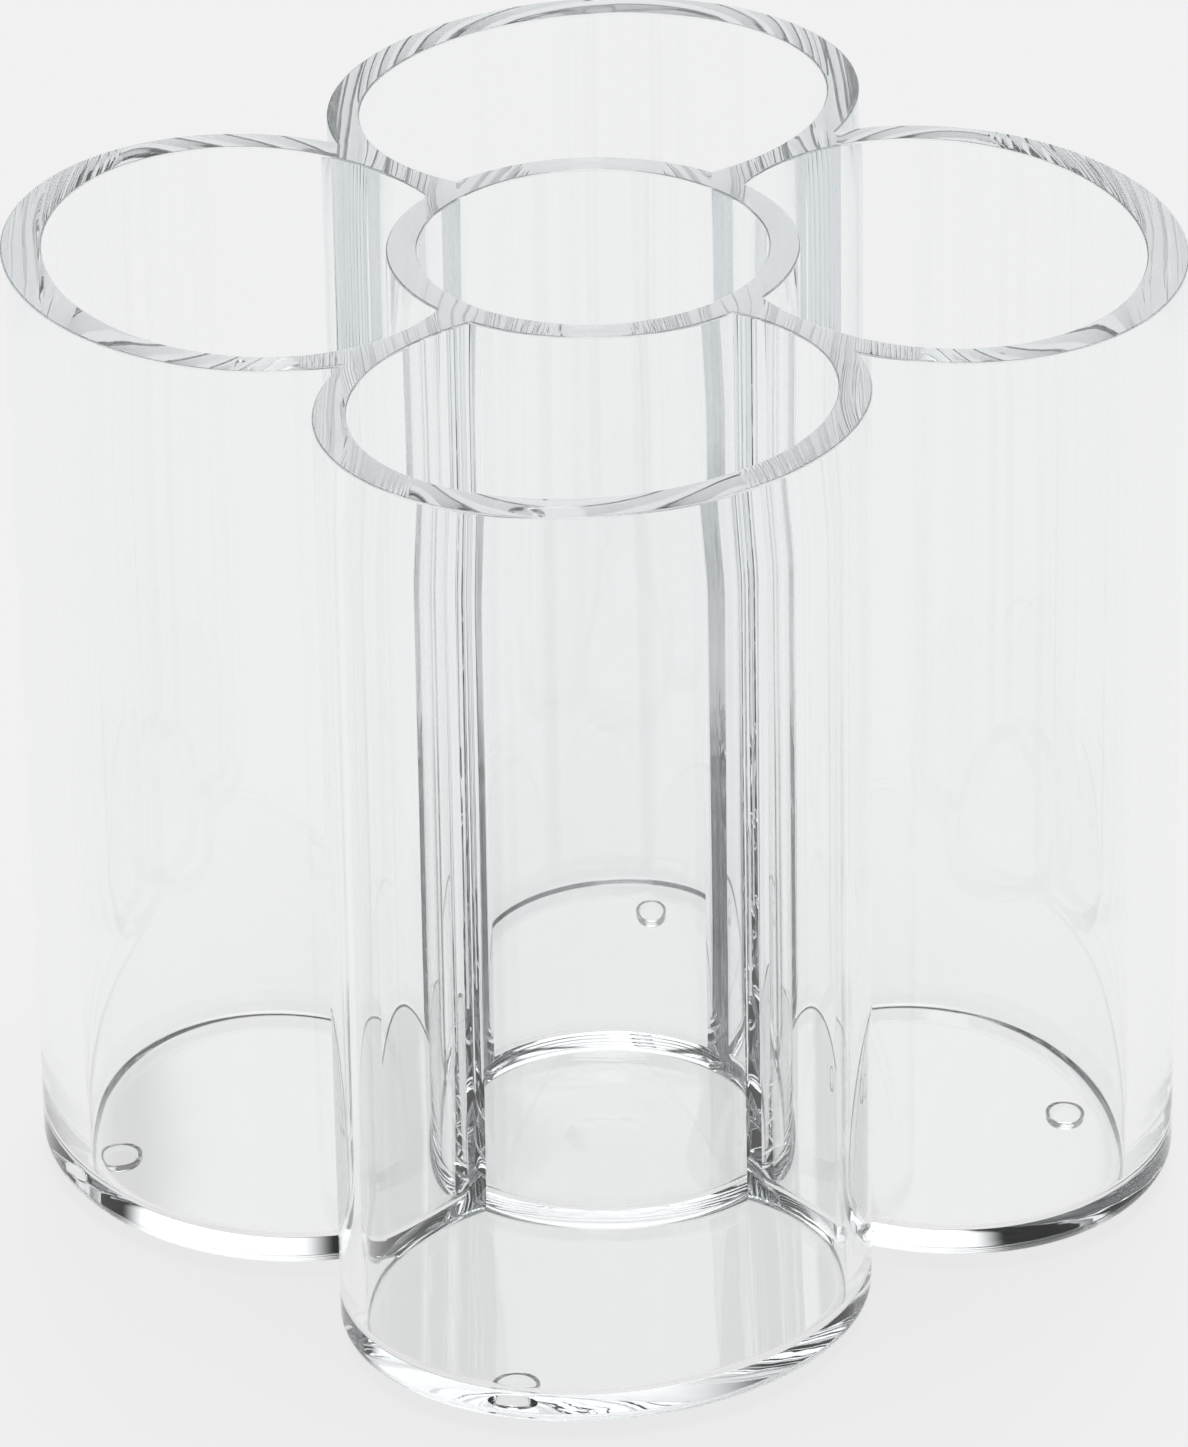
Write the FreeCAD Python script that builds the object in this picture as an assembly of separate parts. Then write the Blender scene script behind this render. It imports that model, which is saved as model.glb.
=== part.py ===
import FreeCAD, Part
import math
import os

# Clear desk cup for pens: a round middle cup ringed by four oval outer cups, standing on four small feet.
# Millimetres, +Z up. The origin is on the table, under the middle cup's axis.
# The whole is a clear moulding. It is written as the sections that a person would name,
# which meet face to face: one wall and one floor for each cup, and the four feet.

# Heights above the table
overall_height = 100.0
foot_height = 1.2  # how far the body stands clear of the table
floor_thickness = 2.0

# Middle cup, straight sided
center_outer_radius = 20.0
center_inner_radius = 17.0

# Outer cups at the rim: each outline is an ellipse whose long axis runs round the object and leans a little
petal_reach = 33.2  # from the axis to the centre of the outer ellipse
petal_outer_semi_long = 26.9
petal_outer_semi_short = 23.55
petal_outer_lean = 24.4  # degrees, anticlockwise from the tangent, seen from above
pocket_reach = 32.8  # from the axis to the centre of the inner ellipse
pocket_semi_long = 23.55
pocket_semi_short = 20.0
pocket_lean = 21.3

# Draft: every outer cup is nearer the axis at its base, and its outside is a little smaller there
petal_base_scale = 0.9865
pocket_base_scale = 1.0
base_shift = 0.44

# Edges and small features
base_edge_radius = 1.6  # rounding along the bottom edge of the outer walls
gate_radius = 4.3  # shallow domed recess under the middle floor
gate_depth = 0.2
foot_radius = 2.2
foot_edge_radius = 0.8

# Each outer cup: its direction and its foot's place, as a reach from the axis and a turn from that direction
outer_cups = {
    "right": {"angle": 0.0, "foot_reach": 47.5, "foot_turn": 2.4},
    "back": {"angle": 90.0, "foot_reach": 48.0, "foot_turn": -7.5},
    "left": {"angle": 180.0, "foot_reach": 49.2, "foot_turn": 5.2},
    "front": {"angle": 270.0, "foot_reach": 49.5, "foot_turn": -9.8},
}

seam_turn = 46.55  # degrees from a cup's direction to the notch between it and the next cup
sector_size = 100.0  # side of the square prism that picks out one quarter of the body

body_bottom = foot_height
floor_top = body_bottom + floor_thickness
up = FreeCAD.Vector(0, 0, 1)
origin = FreeCAD.Vector(0, 0, 0)


def turned(shape, degrees):
    """A copy of shape, turned about the object's axis."""
    copy = shape.copy()
    copy.rotate(origin, up, degrees)
    return copy


def leaning_ellipse(reach, semi_long, semi_short, lean, height):
    """A closed ellipse at the given height, centred on +X, its long axis leaning from the Y direction."""
    slant = math.radians(90.0 + lean)
    long_way = FreeCAD.Vector(math.cos(slant), math.sin(slant), 0)
    short_way = FreeCAD.Vector(-math.sin(slant), math.cos(slant), 0)
    middle = FreeCAD.Vector(reach, 0, height)
    curve = Part.Ellipse(middle + long_way * semi_long, middle + short_way * semi_short, middle)
    return Part.Wire([curve.toShape()])


def drafted_oval(reach, semi_long, semi_short, base_scale, lean):
    """The solid inside a drafted oval surface, from the body's bottom to the rim."""
    lower = leaning_ellipse(
        reach - base_shift, semi_long * base_scale, semi_short * base_scale, lean, body_bottom
    )
    upper = leaning_ellipse(reach, semi_long, semi_short, lean, overall_height)
    return Part.makeLoft([lower, upper], True, True)


def upright_cylinder(radius, low, high):
    """A cylinder about the object's axis between two heights."""
    return Part.makeCylinder(radius, high - low, FreeCAD.Vector(0, 0, low), up)


def rounded_base(shape):
    """The shape with its outer bottom edges rounded, leaving the vertical seams sharp."""
    bottom_edges = [
        edge
        for edge in shape.Edges
        if abs(edge.BoundBox.ZMax - body_bottom) < 0.01 and edge.BoundBox.DiagonalLength > 1.0
    ]
    return shape.makeFillet(base_edge_radius, bottom_edges)


def body_envelope():
    """The outside of the whole body: four drafted ovals and the middle cylinder in one."""
    oval = drafted_oval(
        petal_reach, petal_outer_semi_long, petal_outer_semi_short, petal_base_scale, petal_outer_lean
    )
    ovals = [turned(oval, cup["angle"]) for cup in outer_cups.values()]
    middle = upright_cylinder(center_outer_radius, body_bottom, overall_height)
    return middle.multiFuse(ovals).removeSplitter()


def pocket(angle, middle):
    """The space inside one outer cup, floor included: its inner oval less the middle cup."""
    oval = drafted_oval(pocket_reach, pocket_semi_long, pocket_semi_short, pocket_base_scale, pocket_lean)
    return turned(oval, angle).cut(middle)


def quarter(angle):
    """The upright prism from the axis between the two notches beside one outer cup."""
    prism = Part.makeBox(sector_size, sector_size, overall_height)
    return turned(prism, angle + seam_turn - 90.0)


def outer_wall(angle, envelope, middle, space):
    """One outer cup's wall: the body in its quarter, outside the middle cup, without the cup's space."""
    return envelope.common(quarter(angle)).cut(middle).cut(space)


def outer_floor(space):
    """One outer cup's floor: the lowest slice of the cup's space."""
    slab = Part.makeBox(4 * sector_size, 4 * sector_size, floor_thickness)
    slab.translate(FreeCAD.Vector(-2 * sector_size, -2 * sector_size, body_bottom))
    return space.common(slab)


def center_wall(middle):
    """The middle cup's wall, a tube from the body's bottom to the rim."""
    return middle.cut(upright_cylinder(center_inner_radius, body_bottom, overall_height))


def center_floor():
    """The middle cup's floor, a disc with a shallow domed recess underneath."""
    disc = upright_cylinder(center_inner_radius, body_bottom, floor_top)
    dome_radius = (gate_radius**2 + gate_depth**2) / (2 * gate_depth)
    dome_centre = FreeCAD.Vector(0, 0, body_bottom + gate_depth - dome_radius)
    return disc.cut(Part.makeSphere(dome_radius, dome_centre))


def foot(reach, angle):
    """One round foot from the table up to the body, with a rounded edge where it stands."""
    place = FreeCAD.Vector(reach * math.cos(math.radians(angle)), reach * math.sin(math.radians(angle)), 0)
    peg = Part.makeCylinder(foot_radius, foot_height, place, up)
    standing_edges = [edge for edge in peg.Edges if edge.BoundBox.ZMax < foot_height / 2]
    return peg.makeFillet(foot_edge_radius, standing_edges)


def save(name, shape):
    """Write one sub-part, checked to be a single sound solid."""
    solid = shape.Solids[0]
    print(f"{name}: solids {len(shape.Solids)}, valid {shape.isValid()}, volume {shape.Volume:.1f} mm3")
    solid.exportStep(f"parts/{name}.step")


os.makedirs("parts", exist_ok=True)
middle_cylinder = upright_cylinder(center_outer_radius, body_bottom, overall_height)
whole_envelope = rounded_base(body_envelope())

save("center_cup_wall", center_wall(middle_cylinder))
save("center_cup_floor", center_floor())
for side, cup in outer_cups.items():
    cup_space = pocket(cup["angle"], middle_cylinder)
    save(f"{side}_cup_wall", outer_wall(cup["angle"], whole_envelope, middle_cylinder, cup_space))
    save(f"{side}_cup_floor", outer_floor(cup_space))
    save(f"{side}_foot", foot(cup["foot_reach"], cup["angle"] + cup["foot_turn"]))
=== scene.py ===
import math

import bmesh
import bpy
import numpy as np
from mathutils import Matrix, Vector


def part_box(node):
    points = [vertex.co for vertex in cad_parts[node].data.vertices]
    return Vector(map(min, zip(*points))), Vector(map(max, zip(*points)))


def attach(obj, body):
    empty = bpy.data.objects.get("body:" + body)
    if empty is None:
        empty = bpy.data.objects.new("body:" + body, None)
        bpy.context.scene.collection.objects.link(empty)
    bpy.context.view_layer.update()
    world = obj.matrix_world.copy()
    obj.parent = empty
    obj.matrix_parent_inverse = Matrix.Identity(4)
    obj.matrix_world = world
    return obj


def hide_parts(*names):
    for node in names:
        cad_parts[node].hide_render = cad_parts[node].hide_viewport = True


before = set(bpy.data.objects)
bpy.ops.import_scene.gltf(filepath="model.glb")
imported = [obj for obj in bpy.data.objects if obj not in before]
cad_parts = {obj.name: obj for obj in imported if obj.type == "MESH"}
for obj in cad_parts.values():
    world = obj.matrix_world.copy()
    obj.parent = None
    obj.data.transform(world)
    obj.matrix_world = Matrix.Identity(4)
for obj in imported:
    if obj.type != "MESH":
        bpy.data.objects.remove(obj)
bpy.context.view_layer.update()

# heights, straight radii and feet as the frame gives them
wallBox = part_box("center_cup_wall")
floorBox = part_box("center_cup_floor")
rimHeight = wallBox[1][2]
baseHeight = wallBox[0][2]
floorHeight = floorBox[1][2]
ringOutside = wallBox[1][0]
ringInside = floorBox[1][0]
sides = ("right", "back", "left", "front")  # each a quarter turn on from the last

# clear body, metres and degrees
body = {
    "petalReach": 0.0332,  # from the axis to the middle of an outer oval, at the rim
    "petalLong": 0.0269,
    "petalShort": 0.02355,
    "petalLean": 24.4,  # long axis, anticlockwise from the tangent
    "pocketReach": 0.0328,
    "pocketLong": 0.02355,
    "pocketShort": 0.0200,
    "pocketLean": 21.3,
    "petalBase": 0.9865,  # the draft: ovals shrink and move in towards the base
    "pocketBase": 1.0,
    "baseShift": 0.00044,
    "baseEdge": 0.0016,
    "rimEdge": 0.00022,
    "floorFillet": 0.0014,
    "footEdge": 0.0008,
    "gateRadius": 0.0043,
    "gateDepth": 0.0002,
    "gateTip": 0.04,  # the dome's last ring, as a share of its radius
    "gateLevels": 24,
    "petalSteps": 150,
    "pocketSteps": 150,
    "ringSteps": 60,
    "holeSteps": 200,
    "footSteps": 48,
    "wallLevels": 10,
    "roundLevels": 14,
    "creaseAngle": 28,
    "sameHeight": 1e-6,  # rims closer than this to a flat's height belong to it
}


def oval(reach, longWay, shortWay, lean, turn):
    # point = (reach, 0) + longWay cos(turn) along the leaning axis + shortWay sin(turn) across it
    slant = math.radians(90 + lean)
    x = reach + longWay * np.cos(turn) * math.cos(slant) - shortWay * np.sin(turn) * math.sin(slant)
    y = longWay * np.cos(turn) * math.sin(slant) + shortWay * np.sin(turn) * math.cos(slant)
    return x, y


def ovalTurn(reach, longWay, shortWay, lean, x, y):
    # the turn at which oval() passes the point (x, y), or the nearest way to it
    slant = math.radians(90 + lean)
    along = (x - reach) * math.cos(slant) + y * math.sin(slant)
    across = -(x - reach) * math.sin(slant) + y * math.cos(slant)
    return np.arctan2(across / shortWay, along / longWay), np.hypot(along / longWay, across / shortWay)


def crossing(outside, near, far, rounds=50):
    # halves the span between near, where outside() is above zero, and far, where it is below
    for _ in range(rounds):
        middle = (near + far) / 2
        keep = outside(middle) > 0
        near = np.where(keep, middle, near)
        far = np.where(keep, far, middle)
    return (near + far) / 2


def between(first, last, steps):
    # steps values from first to last, the last left out, for each row
    share = np.arange(steps) / steps
    return first + (last - first) * share


def drafted(reach, longWay, shortWay, baseScale, height, inset):
    # reach and half axes at a height: the draft runs straight from base to rim, then the inset comes off
    share = (height - baseHeight) / (rimHeight - baseHeight)
    scale = baseScale + (1 - baseScale) * share
    moved = reach - body["baseShift"] * (1 - share)
    return moved, longWay * scale - inset, shortWay * scale - inset


def petalOutline(height, inset):
    # four oval arcs, each from notch to notch; a notch is where an oval meets the same oval a quarter turn on
    height = np.asarray(height)[:, None]
    inset = np.asarray(inset)[:, None]
    petal = body["petalReach"], body["petalLong"], body["petalShort"], body["petalBase"]
    shape = drafted(*petal, height, inset)
    lean = body["petalLean"]

    def outsideNext(turn):
        x, y = oval(*shape, lean, turn)
        return ovalTurn(*shape, lean, y, -x)[1] - 1

    outermost = np.full_like(height, -math.radians(90 + lean))
    last = crossing(outsideNext, outermost, outermost + 0.62 * math.pi)
    notchX, notchY = oval(*shape, lean, last)
    first = ovalTurn(*shape, lean, notchY, -notchX)[0]
    first = last - np.mod(last - first, 2 * math.pi)
    x, y = oval(*shape, lean, between(first, last, body["petalSteps"]))
    quarters = [(x, y), (-y, x), (-x, -y), (y, -x)]
    return np.hstack([q[0] for q in quarters]), np.hstack([q[1] for q in quarters])


def pocketOutline(height, inset, quarter):
    # an oval arc round the outside, then the middle ring's arc back, joined where the oval meets the ring
    height = np.asarray(height)[:, None]
    inset = np.asarray(inset)[:, None]
    pocket = body["pocketReach"], body["pocketLong"], body["pocketShort"], body["pocketBase"]
    shape = drafted(*pocket, height, inset)
    lean = body["pocketLean"]
    ring = ringOutside + inset

    def outsideRing(turn):
        x, y = oval(*shape, lean, turn)
        return np.hypot(x, y) - ring

    outermost = np.full_like(height, -math.radians(90 + lean))
    last = crossing(outsideRing, outermost, outermost + math.pi)
    first = crossing(outsideRing, outermost, outermost - math.pi)
    x, y = oval(*shape, lean, between(first, last, body["pocketSteps"]))
    startX, startY = oval(*shape, lean, last)
    endX, endY = oval(*shape, lean, first)
    sweep = between(np.arctan2(startY, startX), np.arctan2(endY, endX), body["ringSteps"])
    x = np.hstack([x, ring * np.cos(sweep)])
    y = np.hstack([y, ring * np.sin(sweep)])
    for _ in range(quarter):
        x, y = -y, x
    return x, y


def circleOutline(radius, steps, middle=(0.0, 0.0)):
    # middle + radius (cos, sin), one row for each radius
    turn = between(0.0, 2 * math.pi, steps)[None, :]
    radius = np.asarray(radius)[:, None]
    return middle[0] + radius * np.cos(turn), middle[1] + radius * np.sin(turn)


def quarterRound(steps):
    # sine and one minus cosine over a quarter turn
    turn = np.linspace(0, math.pi / 2, steps + 1)
    return np.sin(turn), 1 - np.cos(turn)


def standingProfile(low, high, lowEdge, highEdge):
    # heights and insets up a wall with a rounding at its foot and another at its rim
    sine, versine = quarterRound(body["roundLevels"])
    footHeights = low + lowEdge * versine
    footInsets = lowEdge * (1 - sine)
    rimHeights = high - highEdge * versine[::-1]
    rimInsets = highEdge * (1 - sine[::-1])
    wall = np.linspace(low + lowEdge, high - highEdge, body["wallLevels"] + 1)[1:-1]
    heights = np.concatenate([footHeights, wall, rimHeights])
    insets = np.concatenate([footInsets, np.zeros_like(wall), rimInsets])
    return heights, insets


def gateDome():
    # a cap of a sphere: height = base + depth - sphere + root of (sphere squared - radius squared)
    sphere = (body["gateRadius"] ** 2 + body["gateDepth"] ** 2) / (2 * body["gateDepth"])
    radii = body["gateRadius"] * np.linspace(1, body["gateTip"], body["gateLevels"])
    heights = baseHeight + body["gateDepth"] - sphere + np.sqrt(sphere**2 - radii**2)
    return heights, radii


class Shell:
    # gathers grids of points into one mesh, then closes its flat openings

    def __init__(self):
        self.points = []
        self.faces = []
        self.count = 0

    def addGrid(self, x, y, height):
        # rows of closed loops; each quad joins a point, its neighbour and the two above
        rows, columns = x.shape
        z = np.broadcast_to(np.asarray(height)[:, None], x.shape)
        self.points.append(np.stack([x, y, z], -1).reshape(-1, 3))
        row = np.arange(rows - 1)[:, None] * columns
        column = np.arange(columns)[None, :]
        beside = (column + 1) % columns
        quads = np.stack([row + column, row + beside, row + columns + beside, row + columns + column], -1)
        self.faces.append(quads.reshape(-1, 4) + self.count)
        self.count += rows * columns

    def build(self, name, flatHeights, creaseAngle):
        mesh = bpy.data.meshes.new(name)
        mesh.from_pydata(np.concatenate(self.points), [], np.concatenate(self.faces).tolist())
        mesh.shade_smooth()
        shell = bmesh.new()
        shell.from_mesh(mesh)
        for height in flatHeights:
            rims = [
                edge for edge in shell.edges
                if edge.is_boundary and all(abs(v.co.z - height) < body["sameHeight"] for v in edge.verts)
            ]
            filled = bmesh.ops.triangle_fill(shell, use_beauty=True, edges=rims, normal=(0, 0, 1))
            for piece in filled["geom"]:
                if isinstance(piece, bmesh.types.BMFace):
                    piece.smooth = False
        bmesh.ops.recalc_face_normals(shell, faces=shell.faces)
        gaps = sum(not edge.is_manifold for edge in shell.edges)
        shell.to_mesh(mesh)
        shell.free()
        mesh.set_sharp_from_angle(angle=math.radians(creaseAngle))
        made = bpy.data.objects.new(name, mesh)
        bpy.context.scene.collection.objects.link(made)
        print(f"{name}: {len(mesh.vertices)} points, {len(mesh.polygons)} faces, {gaps} open edges")
        return made


def makeClearBody():
    # outer wall, four pockets, the middle bore, feet and gate recess, as one closed skin
    shell = Shell()
    heights, insets = standingProfile(baseHeight, rimHeight, body["baseEdge"], body["rimEdge"])
    shell.addGrid(*petalOutline(heights, insets), heights)
    heights, insets = standingProfile(floorHeight, rimHeight, body["floorFillet"], body["rimEdge"])
    insets = np.where(heights > rimHeight - body["rimEdge"], -insets, insets)
    for quarter in range(len(sides)):
        shell.addGrid(*pocketOutline(heights, insets, quarter), heights)
    shell.addGrid(*circleOutline(ringInside - insets, body["holeSteps"]), heights)
    for side in sides:
        low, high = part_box(side + "_foot")
        radius = (high[0] - low[0]) / 2
        middle = ((high[0] + low[0]) / 2, (high[1] + low[1]) / 2)
        sine, versine = quarterRound(body["roundLevels"])
        heights = np.concatenate([low[2] + body["footEdge"] * versine, [baseHeight]])
        radii = np.concatenate([radius - body["footEdge"] * (1 - sine), [radius]])
        shell.addGrid(*circleOutline(radii, body["footSteps"], middle), heights)
    heights, radii = gateDome()
    shell.addGrid(*circleOutline(radii, body["footSteps"] * 2), heights)
    flats = (rimHeight, floorHeight, baseHeight, heights[-1], 0.0)
    return shell.build("clear_body", flats, body["creaseAngle"])


class Wire:
    # an output socket; + - * / and ** on it add Math nodes

    def __init__(self, graph, socket):
        self.graph = graph
        self.socket = socket

    def math(self, operation, first, second):
        return self.graph.add("ShaderNodeMath", {"operation": operation}, {0: first, 1: second})

    def __add__(self, other):
        return self.math("ADD", self, other)

    def __sub__(self, other):
        return self.math("SUBTRACT", self, other)

    def __rsub__(self, other):
        return self.math("SUBTRACT", other, self)

    def __mul__(self, other):
        return self.math("MULTIPLY", self, other)

    def __truediv__(self, other):
        return self.math("DIVIDE", self, other)

    def __rtruediv__(self, other):
        return self.math("DIVIDE", other, self)

    def __pow__(self, other):
        return self.math("POWER", self, other)

    __radd__ = __add__
    __rmul__ = __mul__


class Graph:
    # a node tree, emptied, with one way to add a node

    def __init__(self, tree):
        self.tree = tree
        tree.nodes.clear()

    def add(self, kind, settings=None, values=None, output=0):
        node = self.tree.nodes.new(kind)
        for name, value in (settings or {}).items():
            setattr(node, name, value)
        for key, value in (values or {}).items():
            if isinstance(value, Wire):
                self.tree.links.new(value.socket, node.inputs[key])
            else:
                node.inputs[key].default_value = value
        return Wire(self, node.outputs[output]) if node.outputs else None


clearPlastic = {
    "tint": (0.992, 0.995, 0.996, 1.0),
    "index": 1.49,
    "depthColour": (0.70, 0.76, 0.79, 1.0),
    "depthDensity": 5.0,
    "waviness": 0.006,
    "waveScale": 140.0,
    "waveDetail": 2.0,
    "waveHeight": 0.001,
    "waveStretch": (1.0, 1.0, 0.12),  # flow marks run up the walls
}


def makeClearPlastic():
    material = bpy.data.materials.new("clear_plastic")
    material.use_nodes = True
    graph = Graph(material.node_tree)
    place = graph.add("ShaderNodeTexCoord", output="Object")
    stretched = graph.add("ShaderNodeMapping", None, {"Vector": place, "Scale": clearPlastic["waveStretch"]})
    flow = graph.add("ShaderNodeTexNoise", None, {
        "Vector": stretched, "Scale": clearPlastic["waveScale"], "Detail": clearPlastic["waveDetail"],
    })
    bump = graph.add("ShaderNodeBump", None, {
        "Height": flow, "Strength": clearPlastic["waviness"], "Distance": clearPlastic["waveHeight"],
    })
    surface = graph.add("ShaderNodeBsdfPrincipled", None, {
        "Base Color": clearPlastic["tint"], "Roughness": 0.0, "IOR": clearPlastic["index"],
        "Transmission Weight": 1.0, "Normal": bump,
    })
    depth = graph.add("ShaderNodeVolumeAbsorption", None, {
        "Color": clearPlastic["depthColour"], "Density": clearPlastic["depthDensity"],
    })
    graph.add("ShaderNodeOutputMaterial", None, {"Surface": surface, "Volume": depth})
    return material


clearBody = makeClearBody()
clearBody.data.materials.append(makeClearPlastic())
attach(clearBody, "root")
walls = ["center_cup_wall", "center_cup_floor"]
for side in sides:
    walls += [f"{side}_cup_wall", f"{side}_cup_floor", f"{side}_foot"]
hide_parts(*walls)

studio = {
    "floorSize": 6.0,
    "floorGap": 0.0001,  # keeps the table just clear of the feet
    "floorGrey": (0.22, 0.22, 0.22, 1.0),
    "floorGlow": 0.80,  # the same glow all over, so the piece's only shadow is its own soft one
    "floorRoughness": 0.7,
    "floorShine": 0.0,
    "white": (1.0, 1.0, 1.0, 1.0),
    "panelWhite": 1.3,  # tall light panel behind the piece
    "panelTurn": 84.0,  # its bearing, anticlockwise from +X
    "panelFrom": 0.93,  # cosine of the angle away from that bearing
    "panelTo": 0.97,
    "panelLow": -0.02,  # sine of the height angle
    "panelHigh": 0.02,
    "topWhite": 2.0,  # light panel overhead
    "topFrom": 0.90,  # sine of the height angle
    "topTo": 0.97,
    "skyDark": 0.0,
    "poleGuard": 1.0001,  # keeps the bearing finite straight up
}


def ramp(graph, value, first, last, low, high):
    # a smooth step from low to high as the value goes from first to last
    return graph.add("ShaderNodeMapRange", {"interpolation_type": "SMOOTHSTEP"}, {
        "Value": value, "From Min": first, "From Max": last, "To Min": low, "To Max": high,
    })


def makeFloor():
    # one flat square, half its size each way from the axis
    half = studio["floorSize"] / 2
    level = -studio["floorGap"]
    mesh = bpy.data.meshes.new("table")
    corners = half * np.array([(-1, -1, 0), (1, -1, 0), (1, 1, 0), (-1, 1, 0)]) + np.array((0, 0, level))
    mesh.from_pydata(corners, [], [(0, 1, 2, 3)])
    table = bpy.data.objects.new("table", mesh)
    bpy.context.scene.collection.objects.link(table)
    material = bpy.data.materials.new("white_table")
    material.use_nodes = True
    graph = Graph(material.node_tree)
    paint = graph.add("ShaderNodeBsdfPrincipled", None, {
        "Base Color": studio["floorGrey"], "Roughness": studio["floorRoughness"],
        "Specular IOR Level": studio["floorShine"],
        "Emission Color": studio["white"], "Emission Strength": studio["floorGlow"],
    })
    graph.add("ShaderNodeOutputMaterial", None, {"Surface": paint})
    mesh.materials.append(material)
    print("table: plain and pale")


def makeSky():
    # a dark room with one tall white panel behind the piece and one white panel overhead
    world = bpy.data.worlds.new("studio")
    bpy.context.scene.world = world
    world.use_nodes = True
    graph = Graph(world.node_tree)
    direction = graph.add("ShaderNodeTexCoord", output="Generated")
    aside = graph.add("ShaderNodeSeparateXYZ", None, {0: direction}, output=0)
    away = Wire(graph, aside.socket.node.outputs["Y"])
    height = Wire(graph, aside.socket.node.outputs["Z"])
    turn = math.radians(studio["panelTurn"])
    level = (studio["poleGuard"] - height * height) ** 0.5
    bearing = (aside * math.cos(turn) + away * math.sin(turn)) / level
    shades = studio["skyDark"], studio["panelWhite"]
    behind = ramp(graph, bearing, studio["panelFrom"], studio["panelTo"], *shades)
    behind = behind * ramp(graph, height, studio["panelLow"], studio["panelHigh"], 0.0, 1.0)
    above = ramp(graph, height, studio["topFrom"], studio["topTo"], 0.0, 1.0)
    shade = behind + (studio["topWhite"] - behind) * above
    light = graph.add("ShaderNodeBackground", None, {"Color": studio["white"], "Strength": shade})
    graph.add("ShaderNodeOutputWorld", None, {"Surface": light})
    print("studio: one panel behind, one overhead")


view = {
    "distance": 1.1442,
    "elevation": 28.244,
    "azimuth": 0.496,
    "roll": -0.915,
    "aimAside": -0.00063,
    "aimHeight": 0.0477,
    "lens": 351.8,
    "sensor": 36.0,
    "farthest": 20.0,
}


def makeCamera():
    # stands at azimuth and elevation round the aim point, then rolls about its own line of sight
    azimuth = math.radians(view["azimuth"])
    elevation = math.radians(view["elevation"])
    roll = math.radians(view["roll"])
    level = math.cos(elevation)
    back = Vector((math.sin(azimuth) * level, -math.cos(azimuth) * level, math.sin(elevation)))
    right = Vector((0, 0, 1)).cross(back).normalized()
    up = back.cross(right)
    place = right * view["aimAside"] + Vector((0, 0, view["aimHeight"])) + back * view["distance"]
    across = right * math.cos(roll) + up * math.sin(roll)
    upright = -right * math.sin(roll) + up * math.cos(roll)
    data = bpy.data.cameras.new("camera")
    data.sensor_fit = "HORIZONTAL"
    data.sensor_width = view["sensor"]
    data.lens = view["lens"]
    data.clip_end = view["farthest"]
    camera = bpy.data.objects.new("camera", data)
    bpy.context.scene.collection.objects.link(camera)
    camera.matrix_world = Matrix((
        (across.x, upright.x, back.x, place.x),
        (across.y, upright.y, back.y, place.y),
        (across.z, upright.z, back.z, place.z),
        (0, 0, 0, 1),
    ))
    bpy.context.scene.camera = camera
    print("camera: set")


makeFloor()
makeSky()
makeCamera()

scene = bpy.context.scene
scene.view_settings.view_transform = "Standard"
scene.view_settings.look = "None"
scene.cycles.max_bounces = 64
scene.cycles.transmission_bounces = 64
scene.cycles.glossy_bounces = 48
scene.cycles.diffuse_bounces = 4
scene.cycles.volume_bounces = 0
scene.cycles.transparent_max_bounces = 16
scene.cycles.caustics_reflective = False
scene.cycles.caustics_refractive = False
scene.cycles.use_denoising = True
scene.cycles.blur_glossy = 0.0
